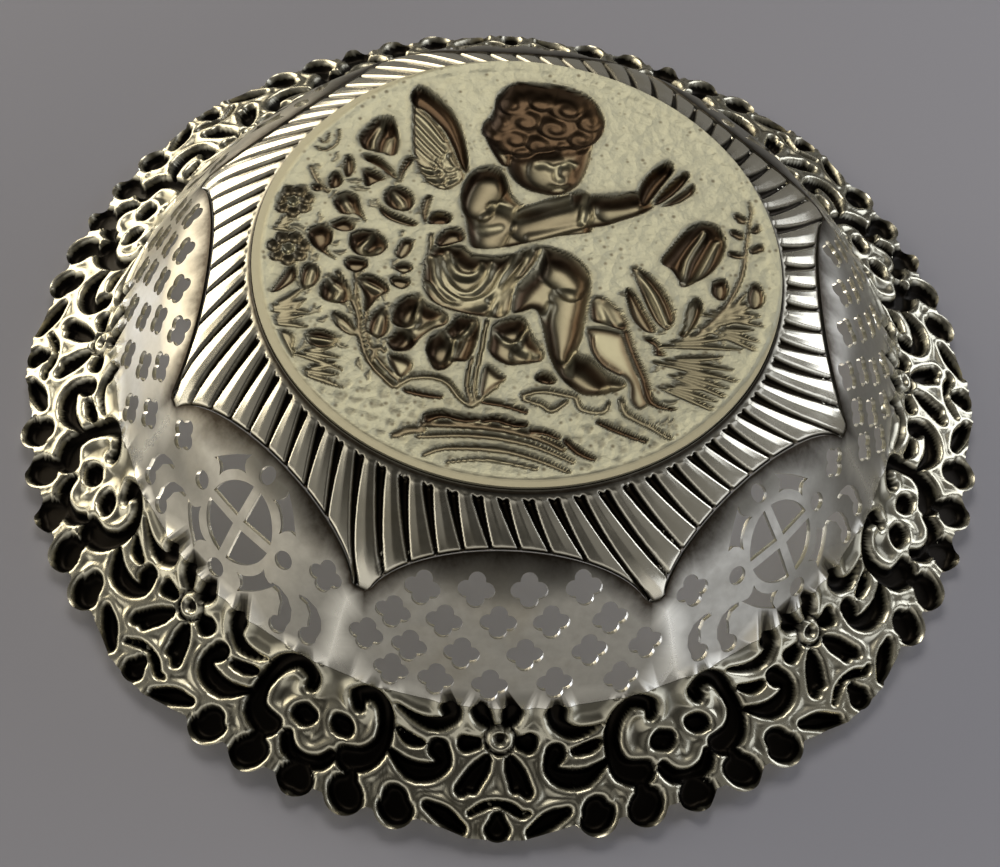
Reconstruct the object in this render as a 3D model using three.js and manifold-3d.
// Pierced dish: a round dish of thin struck sheet, made of four pieces that are soldered together.
// Millimetres and degrees. The z axis is the axis of the dish, and z = 0 is the surface it stands on.
// Angles turn about z from the flower that faces -Y, clockwise when seen from above.

import * as THREE from 'three';
import { mergeVertices } from 'three/addons/utils/BufferGeometryUtils.js';
import Module from 'manifold-3d';

const wasm = await Module();
wasm.setup();

// Driving dimensions: the sheet and its seams
const SHEET = 0.6; // thickness of the struck sheet
const SEAM = 0.2; // solder gap between two pieces
const SLACK = 0.07; // largest error that thinning out the finished meshes may add
const COLUMNS = 40; // flat facets round the dish
const LAP = 1.2; // how far the belt's inner flange reaches over the plaque

// Driving dimensions: the outside of the dish, from the plaque out to the rim, each part as the
// distance it runs outward and the height it rises
const PLAQUE_RADIUS = 35.3;
const COVE_RUN = 1.1;
const COVE_RISE = 1.6;
const BELT_RUN = 10.1;
const BELT_RISE = 6.3;
const WALL_RUN = 11.7;
const WALL_RISE = 17.3;
const BORDER_RUN = 11.8;
const BORDER_RISE = 5.1;
const COVE_BEND = 0.5; // length of the round bend before and after its corner
const SHOULDER_BEND = 3.6;
const ROOT_BEND = 1.2;
const BORDER_LAP = 4.8; // how far the border piece reaches down the wall from its root

// Driving dimensions: the fluted belt and the arches that end it
const FLUTES = 72;
const FLUTE_HEAD = 2.1; // along the profile from the plaque's edge to the flutes' heads
const FLUTE_DEPTH = 0.8;
const FLUTE_LEAN = 16.5; // degrees that a flute would turn on its way from head to border
const SECTORS = 8;
const ARCH_FOOT = 12.6; // from the border's seam to the tip between two arches
const ARCH_CENTRE = 10.9;
const ARCH_HALF_ANGLE = 21.6;
const FLOWER_ARCH_RISE = 10.6;
const ROUNDEL_ARCH_RISE = 9.5;

// Driving dimensions: the piercing, placed by its distance from the border's seam
const QUATREFOIL_REACH = 2.35; // from the centre to the end of a foil
const FOIL_WIDTH = 2;
const QUATREFOIL_ROWS = [4, 5, 6, 5];
const LAST_ROW = 3.65; // from the seam to the row beside it
const ROW_PITCH = 4.4;
const QUATREFOIL_PITCH = 8.2; // degrees between two in a row
const ROW_SAG = 1.1; // how much nearer to the seam a row would be at its sector's ends
const ROUNDEL_CENTRE = 10.8;
const ROUNDEL_RADIUS = 5.4;
const ROUNDEL_BAR = 1.3;
const RING_OF_HOLES = 7.9; // radius of the ring of holes and slots about a roundel
const HOLE_RADIUS = 1.3;
const SLOT_LENGTH = 5.4;
const SLOT_WIDTH = 2.2;
const FLANKER_ANGLE = 16.8; // degrees from a roundel to the quatrefoils beside it
const FLANKER_PLACE = 12;
const COMMA_ANGLES = [13.3, 18.2];
const COMMA_PLACE = 2.1; // from the seam to the middle of a comma's head
const COMMA_LENGTH = 5.4;
const COMMA_HEAD = 1.25;

// Driving dimensions: the struck relief
const BORDER_RELIEF = 1.2; // depth of the hollows that are pressed through the border
const DRAFT = 0.4; // how far a hollow's walls lean in
const FIGURE_RELIEF = 2.4; // depth of the plaque's deepest hollow
const PLAQUE_TURN = 4.4; // degrees the plaque is turned against the flowers
const SMALL_FORM = 7; // half width, in hundredths of the plaque, up to which a form has six sides

const degrees = THREE.MathUtils.degToRad;

// Profile of the outside: straight runs between the corners, with round bends
function bentLine(corners, bends) {
  const path = new THREE.Path();
  path.moveTo(corners[0].x, corners[0].y);
  for (let i = 1; i < corners.length - 1; i += 1) {
    const back = corners[i - 1].clone().sub(corners[i]).setLength(bends[i - 1]).add(corners[i]);
    const on = corners[i + 1].clone().sub(corners[i]).setLength(bends[i - 1]).add(corners[i]);
    path.lineTo(back.x, back.y);
    path.quadraticCurveTo(corners[i].x, corners[i].y, on.x, on.y);
  }
  const last = corners[corners.length - 1];
  path.lineTo(last.x, last.y);
  return path;
}

const edge = new THREE.Vector2(PLAQUE_RADIUS, 0);
const cove = new THREE.Vector2(COVE_RUN, COVE_RISE).add(edge);
const shoulder = new THREE.Vector2(BELT_RUN, BELT_RISE).add(cove);
const root = new THREE.Vector2(WALL_RUN, WALL_RISE).add(shoulder);
const rim = new THREE.Vector2(BORDER_RUN, BORDER_RISE).add(root);
const profile = bentLine([edge, cove, shoulder, root, rim], [COVE_BEND, SHOULDER_BEND, ROOT_BEND]);
const RIM = profile.getLength();
const ROOT = RIM - rim.distanceTo(root);
const SHOULDER = ROOT - root.distanceTo(shoulder);
const BORDER_START = ROOT - BORDER_LAP;

// Point at an angle, at a length along the profile, and at a depth inward from the outside
function skin(angle, along, depth) {
  const share = THREE.MathUtils.clamp(along / RIM, 0, 1);
  const point = profile.getPoint(share);
  const tangent = profile.getTangent(share);
  return polar(angle, point.x - tangent.y * depth, point.y + tangent.x * depth);
}

function polar(angle, radius, height) {
  const turn = degrees(angle);
  return new THREE.Vector3(-radius * Math.sin(turn), -radius * Math.cos(turn), height);
}

function radiusAt(along) {
  return profile.getPoint(THREE.MathUtils.clamp(along / RIM, 0, 1)).x;
}

// Solids from points and triangles, and from three.js geometry
function solid(points, triangles) {
  const vertProperties = new Float32Array(points.flatMap((point) => [point.x, point.y, point.z]));
  const triVerts = new Uint32Array(triangles.flat());
  return new wasm.Manifold(new wasm.Mesh({ numProp: 3, vertProperties, triVerts }));
}

function solidOf(geometry) {
  geometry.deleteAttribute('normal');
  geometry.deleteAttribute('uv');
  const merged = mergeVertices(geometry, 1e-4);
  const vertProperties = new Float32Array(merged.attributes.position.array);
  const triVerts = new Uint32Array(merged.index.array);
  return new wasm.Manifold(new wasm.Mesh({ numProp: 3, vertProperties, triVerts }));
}

function geometryOf(body) {
  const mesh = body.getMesh();
  const geometry = new THREE.BufferGeometry();
  geometry.setAttribute('position', new THREE.BufferAttribute(new Float32Array(mesh.vertProperties), 3));
  geometry.setIndex(new THREE.BufferAttribute(new Uint32Array(mesh.triVerts), 1));
  geometry.computeVertexNormals();
  return geometry;
}

// Ring about the axis: one closed section for each column, in order of angle
function ring(sections) {
  const size = sections[0].length;
  const triangles = [];
  sections.forEach((section, column) => {
    const here = column * size;
    const next = ((column + 1) % sections.length) * size;
    for (let k = 0; k < size; k += 1) {
      const up = (k + 1) % size;
      triangles.push([here + k, here + up, next + up], [here + k, next + up, next + k]);
    }
  });
  return solid(sections.flat(), triangles);
}

// Triangles that fill a flat outline, each one turning left
function facesOf(flat) {
  return THREE.ShapeUtils.triangulateShape(flat, []).map(([a, b, c]) =>
    (THREE.ShapeUtils.area([flat[a], flat[b], flat[c]]) > 0 ? [a, b, c] : [a, c, b]));
}

// Plug through the sheet, cut square to the sheet at its middle: from an outline of
// [degrees, along] points at one depth to another outline at a second depth
function plug(lowOutline, highOutline, low, high, endFaces) {
  const flat = lowOutline.map(([angle, along]) => new THREE.Vector2(angle, along));
  const count = flat.length;
  const middle = new THREE.Box2().setFromPoints(flat).getCenter(new THREE.Vector2());
  const inward = skin(middle.x, middle.y, 1).sub(skin(middle.x, middle.y, 0));
  const shifted = (outline, depth) => outline.map(([angle, along]) =>
    skin(angle, along, 0).addScaledVector(inward, depth));
  const triangles = [];
  for (const [a, b, c] of endFaces ?? facesOf(flat)) {
    triangles.push([a + count, b + count, c + count], [c, b, a]);
  }
  for (let i = 0; i < count; i += 1) {
    const j = (i + 1) % count;
    triangles.push([i, j, j + count], [i, j + count, i + count]);
  }
  return solid([...shifted(lowOutline, low), ...shifted(highOutline, high)], triangles);
}

// Outline in millimetres about a centre on the dish, as [degrees, along] points
function placed(shape, angle, along) {
  const scale = degrees(1) * radiusAt(along);
  return shape.map(([x, y]) => [angle + x / scale, along + y]);
}

function turned(outline, angle) {
  return outline.map(([x, y]) => [x + angle, y]);
}

function mirrored(outline) {
  return outline.map(([x, y]) => [-x, y]).reverse();
}

// The arches: where the fluted belt ends, alternately over flowers and over roundels
function archAt(angle) {
  const pitch = 360 / SECTORS;
  const sector = Math.round(angle / pitch);
  const rise = sector % 2 === 0 ? FLOWER_ARCH_RISE : ROUNDEL_ARCH_RISE;
  const share = Math.min(1, Math.abs(angle - sector * pitch) / ARCH_HALF_ANGLE);
  return BORDER_START - Math.max(ARCH_FOOT, ARCH_CENTRE + rise * Math.sqrt(1 - share * share));
}

// Ring that covers everything on one side of the arches, to cut a piece along them
function archCutter(fromArch, edge) {
  const steps = 10;
  const reachOut = 2 * SHEET;
  const reachIn = 2 * (SHEET + FLUTE_DEPTH);
  const sections = [];
  for (let sector = 0; sector < SECTORS; sector += 1) {
    for (let i = 0; i <= steps; i += 1) {
      const share = Math.sin(Math.PI * (i / steps - 0.5));
      const angle = (sector * 360) / SECTORS + ARCH_HALF_ANGLE * share;
      const arch = archAt(angle) + fromArch;
      const low = Math.min(arch, edge);
      const high = Math.max(arch, edge);
      sections.push([
        skin(angle, low, -reachOut),
        skin(angle, high, -reachOut),
        skin(angle, high, reachIn),
        skin(angle, low, reachIn),
      ]);
    }
  }
  return ring(sections);
}

// Angle of a leaning flute at a length along the profile, from its angle at its head
function leaning(angle, along) {
  return angle + (FLUTE_LEAN * (along - FLUTE_HEAD)) / (BORDER_START - FLUTE_HEAD);
}

// Length along a leaning flute at which it meets the arches
function fluteEnd(angle) {
  let end = FLUTE_HEAD;
  for (let i = 0; i < 40; i += 1) {
    end = (end + archAt(leaning(angle, end))) / 2;
  }
  return end;
}

// Fluted belt: a flange that laps the plaque, a cove, and leaning flutes out to the arches
function flutedBelt() {
  const columnsInFlute = 2;
  const flangeHeight = SHEET + SEAM;
  const flangeEdge = PLAQUE_RADIUS - LAP;
  const fullDepthAfter = 0.75 * FLUTE_DEPTH;
  const runOver = 2.5 * FLUTE_DEPTH;
  const sections = [];
  for (let i = 0; i < FLUTES * columnsInFlute; i += 1) {
    const angle = (i * 360) / (FLUTES * columnsInFlute);
    const groove = i % columnsInFlute === 0 ? FLUTE_DEPTH : 0;
    const end = fluteEnd(angle) + runOver;
    const rows = [
      [FLUTE_HEAD, 0],
      [FLUTE_HEAD + fullDepthAfter, groove],
      [end, groove / 3],
    ];
    const face = (depth) => rows.map(([along, sunk]) =>
      skin(leaning(angle, along), along, depth + sunk));
    sections.push([
      polar(angle, flangeEdge, flangeHeight),
      polar(angle, PLAQUE_RADIUS + SEAM, flangeHeight),
      ...face(0),
      ...face(SHEET).reverse(),
      polar(angle, PLAQUE_RADIUS + SEAM - SHEET / 2, flangeHeight + SHEET),
      polar(angle, flangeEdge, flangeHeight + SHEET),
    ]);
  }
  return ring(sections).subtract(archCutter(0, ROOT));
}

// Outlines of the piercing, in millimetres about their own centres
function quatrefoil() {
  const notch = FOIL_WIDTH / 2;
  const points = [];
  for (let quarter = 0; quarter < 4; quarter += 1) {
    const turn = (quarter * Math.PI) / 2;
    for (const [x, y] of [[QUATREFOIL_REACH, 0], [notch, notch]]) {
      points.push([x * Math.cos(turn) - y * Math.sin(turn), x * Math.sin(turn) + y * Math.cos(turn)]);
    }
  }
  return points;
}

function roundHole(radius, sides) {
  return Array.from({ length: sides }, (_, i) => {
    const turn = (i * 2 * Math.PI) / sides;
    return [radius * Math.cos(turn), radius * Math.sin(turn)];
  });
}

function roundelQuadrant(xSign, ySign) {
  const bar = ROUNDEL_BAR / 2;
  const start = Math.asin(bar / ROUNDEL_RADIUS);
  const steps = 3;
  const points = [[bar, bar]];
  for (let i = 0; i <= steps; i += 1) {
    const turn = start + ((Math.PI / 2 - 2 * start) * i) / steps;
    points.push([ROUNDEL_RADIUS * Math.cos(turn), ROUNDEL_RADIUS * Math.sin(turn)]);
  }
  const outline = points.map(([x, y]) => [x * xSign, y * ySign]);
  return xSign * ySign > 0 ? outline : outline.reverse();
}

// Curved slot with notched ends, square to the line from the roundel's centre
function fishtailSlot(direction) {
  const notch = 0.3 * SLOT_WIDTH;
  const half = SLOT_LENGTH / 2 / RING_OF_HOLES;
  const inner = RING_OF_HOLES - SLOT_WIDTH / 2;
  const outer = RING_OF_HOLES + SLOT_WIDTH / 2;
  const sag = notch / RING_OF_HOLES;
  return [
    [inner, -half],
    [RING_OF_HOLES, -half + sag],
    [outer, -half],
    [outer, half],
    [RING_OF_HOLES, half - sag],
    [inner, half],
  ].map(([radius, turn]) => [
    radius * Math.cos(direction + turn),
    radius * Math.sin(direction + turn),
  ]);
}

// Comma with its round head outward and its tail bent towards the roundel
function comma(side) {
  const tail = COMMA_LENGTH - COMMA_HEAD;
  const outline = [
    [-1.9 * COMMA_HEAD, -tail],
    [0.6 * COMMA_HEAD, -0.75 * tail],
    [COMMA_HEAD, 0],
    [0, 0.95 * COMMA_HEAD],
    [-COMMA_HEAD, 0],
    [-0.3 * COMMA_HEAD, -0.4 * tail],
    [-0.7 * COMMA_HEAD, -0.7 * tail],
  ];
  return side > 0 ? outline : mirrored(outline);
}

// Every hole of one quatrefoil sector and of one roundel sector, as [degrees, along] outlines
function quatrefoilSector() {
  const holes = [];
  const halfSector = 180 / SECTORS;
  QUATREFOIL_ROWS.forEach((count, row) => {
    const fromSeam = LAST_ROW + (QUATREFOIL_ROWS.length - 1 - row) * ROW_PITCH;
    for (let i = 0; i < count; i += 1) {
      const angle = (i - (count - 1) / 2) * QUATREFOIL_PITCH;
      const sag = ROW_SAG * (angle / halfSector) ** 2;
      holes.push(placed(quatrefoil(), angle, BORDER_START - fromSeam + sag));
    }
  });
  return holes;
}

function roundelSector() {
  const shapes = [];
  for (let quarter = 0; quarter < 4; quarter += 1) {
    const turn = (quarter * Math.PI) / 2;
    const hole = roundHole(HOLE_RADIUS, 6);
    const x = RING_OF_HOLES * Math.cos(turn);
    const y = RING_OF_HOLES * Math.sin(turn);
    shapes.push(hole.map(([holeX, holeY]) => [holeX + x, holeY + y]));
    shapes.push(fishtailSlot(turn + Math.PI / 4));
  }
  for (const xSign of [-1, 1]) {
    for (const ySign of [-1, 1]) {
      shapes.push(roundelQuadrant(xSign, ySign));
    }
  }
  const holes = shapes.map((shape) => placed(shape, 0, BORDER_START - ROUNDEL_CENTRE));
  for (const side of [-1, 1]) {
    holes.push(placed(quatrefoil(), side * FLANKER_ANGLE, BORDER_START - FLANKER_PLACE));
    for (const angle of COMMA_ANGLES) {
      holes.push(placed(comma(side), side * angle, BORDER_START - COMMA_PLACE));
    }
  }
  return holes;
}

// Smooth band of sheet between two places along the profile
function band(places) {
  const sections = [];
  for (let i = 0; i < COLUMNS; i += 1) {
    const angle = (i * 360) / COLUMNS;
    sections.push([
      ...places.map((along) => skin(angle, along, 0)),
      ...places.map((along) => skin(angle, along, SHEET)).reverse(),
    ]);
  }
  return ring(sections);
}

// Pierced wall: a smooth band from the arches to the border, with every hole cut through
function piercedWall() {
  const past = SHEET;
  const wallStart = BORDER_START - ARCH_CENTRE - FLOWER_ARCH_RISE - SEAM;
  const bend = [SHOULDER - SHOULDER_BEND / 2, SHOULDER + SHOULDER_BEND / 2];
  let wall = band([wallStart, ...bend, BORDER_START - SEAM]).subtract(archCutter(SEAM, 0));
  for (let sector = 0; sector < SECTORS; sector += 1) {
    const holes = sector % 2 === 0 ? quatrefoilSector() : roundelSector();
    for (const hole of holes) {
      const outline = turned(hole, (sector * 360) / SECTORS);
      wall = wall.subtract(plug(outline, outline, -past, SHEET + past));
    }
  }
  return wall;
}

// The border's hollows in one sector, as chains of [degrees from the flower, place, half width],
// both lengths in hundredths of the way from the root to the rim. The first ones lie in the
// sector's middle or between two sectors, and the others on both sides of the flower.
const MIDDLE_HOLLOWS = [
  [[0, 0, 10]], // boss of the flower
  [[0, 90, 12]], // tongue
  [[19.9, 54, 6], [22.5, 66, 8], [25.1, 54, 6]], // swag
  [[22.5, 82.5, 15]], // lobe between two sectors
];
const PAIRED_HOLLOWS = [
  [[1.6, -31, 9], [1.3, -18, 6]], // inner petal
  [[4.5, 5, 7], [2.6, 4, 6]], // side petal
  [[1.7, 17, 5.5], [2.5, 33, 9.5], [3.7, 50, 6]], // outer petal
  [[7, -29, 8.5], [7.4, -12, 8.5], [12.2, -11, 5.5]], // upper scroll
  [[7.3, 12, 9.5], [6.7, 26, 8], [8.6, 38, 8.5], [12.4, 31, 6]], // lower scroll
  [
    [19.9, -5, 6], [18.7, -21, 8], [15.6, -15, 8.5],
    [14.3, 8, 8.5], [14.6, 36, 10], [17.6, 49, 11.5],
  ], // great scroll
  [[20.2, 20, 11]], // bud
  [[16.7, 81, 15]], // lobe
  [[11.1, 79, 15]], // lobe
];

// Rim of half a sector, as [degrees from the cusp, hundredths of the border back from the rim]
const SCALLOPS = [
  [0, 0], [2.7, 0.8], [8.2, 17.8], [9.6, 5.4], [12.5, 5.4], [13.95, 12.4],
  [15.4, 3.9], [18.2, 3.9], [19.65, 10.9], [21.1, 2.3], [22.5, 1.5],
];

// Outline of a hollow as [degrees, along] points, wider all round by a distance
function hollowOutline(chain, wider) {
  const inMillimetres = degrees(1) * radiusAt(ROOT + (RIM - ROOT) / 2);
  const unit = (RIM - ROOT) / 100;
  const spots = chain.map(([angle, place, half]) => ({
    at: new THREE.Vector2(angle * inMillimetres, ROOT + place * unit),
    half: half * unit + wider,
  }));
  const last = spots.length - 1;
  const right = [];
  const left = [];
  spots.forEach(({ at, half }, i) => {
    if (last === 0) {
      right.push(...roundHole(half, 6).map(([x, y]) => [at.x + x, at.y + y]));
      return;
    }
    const run = spots[Math.min(i + 1, last)].at.clone().sub(spots[Math.max(i - 1, 0)].at).normalize();
    const onward = wider * (Number(i === last) - Number(i === 0));
    const middle = at.clone().addScaledVector(run, onward);
    right.push([middle.x + run.y * half, middle.y - run.x * half]);
    left.unshift([middle.x - run.y * half, middle.y + run.x * half]);
  });
  return [...right, ...left].map(([x, y]) => [x / inMillimetres, y]);
}

// Triangles that join the two sides of a hollow's outline, spot by spot along its chain
function stripFaces(count) {
  const faces = [];
  for (let i = 0; i + 1 < count / 2; i += 1) {
    faces.push([i, i + 1, count - 2 - i], [i, count - 2 - i, count - 1 - i]);
  }
  return faces;
}

// Every hollow of the border all round, each as a function that gives its outline
function borderHollows() {
  const paired = PAIRED_HOLLOWS.flatMap((chain) =>
    [(wider) => hollowOutline(chain, wider), (wider) => mirrored(hollowOutline(chain, wider))]);
  const middle = MIDDLE_HOLLOWS.map((chain) => (wider) => hollowOutline(chain, wider));
  const sectors = Array.from({ length: SECTORS }, (_, i) => (i * 360) / SECTORS);
  return sectors.flatMap((angle) => [...middle, ...paired].map((outline) =>
    (wider) => turned(outline(wider), angle)));
}

// Ring outside the scalloped rim, to cut the border's edge to its outline
function rimCutter() {
  const beyond = 2 * (BORDER_RELIEF + SHEET);
  const pitch = 360 / SECTORS;
  const back = SCALLOPS.slice(1, -1).map(([angle, drop]) => [pitch - angle, drop]).reverse();
  const sections = [];
  for (let sector = 0; sector < SECTORS; sector += 1) {
    for (const [angle, drop] of [...SCALLOPS, ...back]) {
      const turn = angle + pitch * sector;
      const sheetEdge = RIM - (drop / 100) * (RIM - ROOT);
      const low = skin(turn, sheetEdge, -beyond);
      const high = skin(turn, sheetEdge, beyond);
      const out = polar(turn, rim.x + 2 * beyond, rim.y);
      sections.push([low, out, high]);
    }
  }
  return ring(sections);
}

// Scroll border: a scalloped band whose hollows stand out as raised forms on the inside
function scrollBorder() {
  const past = SHEET;
  const low = 0.75 * SHEET;
  const high = BORDER_RELIEF + SHEET;
  const hollows = borderHollows();
  const faces = hollows.map((outline) => stripFaces(outline(0).length));
  let border = band([BORDER_START, ROOT - ROOT_BEND, ROOT + ROOT_BEND, RIM]);
  hollows.forEach((outline, i) => {
    border = border.add(plug(outline(SHEET), outline(SHEET - DRAFT), low, high, faces[i]));
  });
  hollows.forEach((outline, i) => {
    border = border.subtract(plug(outline(0), outline(-DRAFT), -past, BORDER_RELIEF, faces[i]));
  });
  return border.subtract(rimCutter());
}

// Relief of the plaque as seen from below, drawn upright, in hundredths of the plaque's radius:
// x and y of the centre, half length, half width, degrees of tilt, and the share of the full depth
const RELIEF = [
  [4, 68, 24, 19, 0, 1], // curly hair
  [10, 46, 12, 13, 0, 0.8], // cheeks and chin
  [-10, 57, 10, 10, 0, 0.75], // back of the head
  [-36, 55, 23, 8, -60, 0.5], // wing
  [-15, 23, 19, 12, 78, 1], // back and shoulder
  [8, 24, 21, 10, 10, 0.9], // upper arm
  [38, 34, 16, 5, 14, 0.6], // forearm
  [52, 44, 9, 6, 50, 0.7], // hand
  [61, 45, 8, 2.5, 34, 0.45], // fingers
  [-17, -12, 17, 16, 0, 0.9], // draped hip
  [-4, -13, 13, 6, 60, 0.7], // edge of the drapery
  [9, -3, 18, 8, -8, 0.9], // thigh
  [21, -26, 23, 7.5, 94, 0.9], // lower leg
  [29, -50, 14, 6, -12, 0.7], // foot
  [-38, -37, 15, 8, 80, 0.6], // great leaf
  [-21, -42, 15, 9, 70, 0.6], // great leaf
  [2, -38, 13, 9, 60, 0.6], // great leaf
  [-60, 53, 10, 7.5, 80, 0.7], // rosebud over the bush
  [-52, 34, 7, 3, -30, 0.4], // its leaves
  [-85, 15, 7, 7, 0, 0.5], // rose
  [-68, 18, 6.5, 6, 0, 0.5], // rose
  [-49, 23, 7, 6.5, 0, 0.6], // rose
  [-58, 0, 8, 7, 0, 0.6], // rose
  [-84, -7, 7.5, 6.5, 0, 0.5], // rose
  [-75, 2, 5, 5, 0, 0.5], // rosebud
  [-32, 10, 8, 4, -30, 0.5], // leaves
  [-53, -20, 6, 5, 0, 0.5], // rosebud
  [-66, -25, 7.5, 5.5, 60, 0.5], // leaf
  [-69, 37, 7, 3, 75, 0.4], // leaf
  [-62, -42, 9, 4, -20, 0.35], // leaves
  [69, 13, 14, 8.5, 62, 0.9], // rosebud before the hands
  [75, -4, 5.5, 5, 0, 0.45], // rosebud
  [53, -13, 14, 4.5, -64, 0.6], // leaf
  [64, -19, 10, 3, 66, 0.5], // leaf
  [45, -30, 14, 2.5, -66, 0.35], // reed
  [72, -36, 12, 3, -10, 0.3], // fern
  [68, -48, 12, 3, -16, 0.3], // fern
  [-72, -52, 12, 3, -40, 0.3], // fern
  [-8, -73, 17, 3, 4, 0.4], // ridge of the ground
  [14, -79, 12, 3, -22, 0.4], // ridge of the ground
];

function dome(sides) {
  const profileOfDome = [[0, 0], [1, 0], [0.7, 0.72], [0, 1]];
  const points = profileOfDome.map(([radius, height]) => new THREE.Vector2(radius, height));
  return new THREE.LatheGeometry(points, sides).rotateX(Math.PI / 2);
}

// One form of the relief as a dome, wider and higher than its hollow by the sheet
function reliefDome([x, y, halfLength, halfWidth, tilt, depth], extra, foot) {
  const scale = PLAQUE_RADIUS / 100;
  const turn = degrees(PLAQUE_TURN);
  const shape = dome(halfWidth > SMALL_FORM ? 8 : 6);
  shape.scale(halfLength * scale + extra, halfWidth * scale + extra, depth * FIGURE_RELIEF + extra);
  shape.rotateZ(Math.PI - degrees(tilt) + turn);
  shape.translate(
    -(x * Math.cos(turn) + y * Math.sin(turn)) * scale,
    (y * Math.cos(turn) - x * Math.sin(turn)) * scale,
    foot,
  );
  return solidOf(shape);
}

// Base plaque: a flat disc whose struck figure is hollow underneath and raised inside the dish
function basePlaque() {
  const sides = 72;
  const disc = new THREE.CylinderGeometry(PLAQUE_RADIUS, PLAQUE_RADIUS, SHEET, sides, 1);
  let plaque = solidOf(disc.rotateX(Math.PI / 2).translate(0, 0, SHEET / 2));
  for (const form of RELIEF) {
    plaque = plaque.add(reliefDome(form, SHEET, SHEET / 2));
  }
  for (const form of RELIEF) {
    plaque = plaque.subtract(reliefDome(form, 0, -SHEET / 4));
  }
  return plaque;
}

// The finish of each piece
const FINISHES = {
  base_plaque: { color: 0xcfc9ae, roughness: 0.42, metalness: 1 },
  fluted_belt: { color: 0xbdb8a6, roughness: 0.25, metalness: 1 },
  pierced_wall: { color: 0xb4b0a4, roughness: 0.22, metalness: 1 },
  scroll_border: { color: 0xa7a18c, roughness: 0.3, metalness: 1 },
};

function piece(name, body) {
  const geometry = geometryOf(body.asOriginal().simplify(SLACK));
  const mesh = new THREE.Mesh(geometry, new THREE.MeshStandardMaterial(FINISHES[name]));
  mesh.name = name;
  return mesh;
}

const dish = new THREE.Group();
dish.add(piece('base_plaque', basePlaque()));
dish.add(piece('fluted_belt', flutedBelt()));
dish.add(piece('pierced_wall', piercedWall()));
dish.add(piece('scroll_border', scrollBorder()));

export default dish;
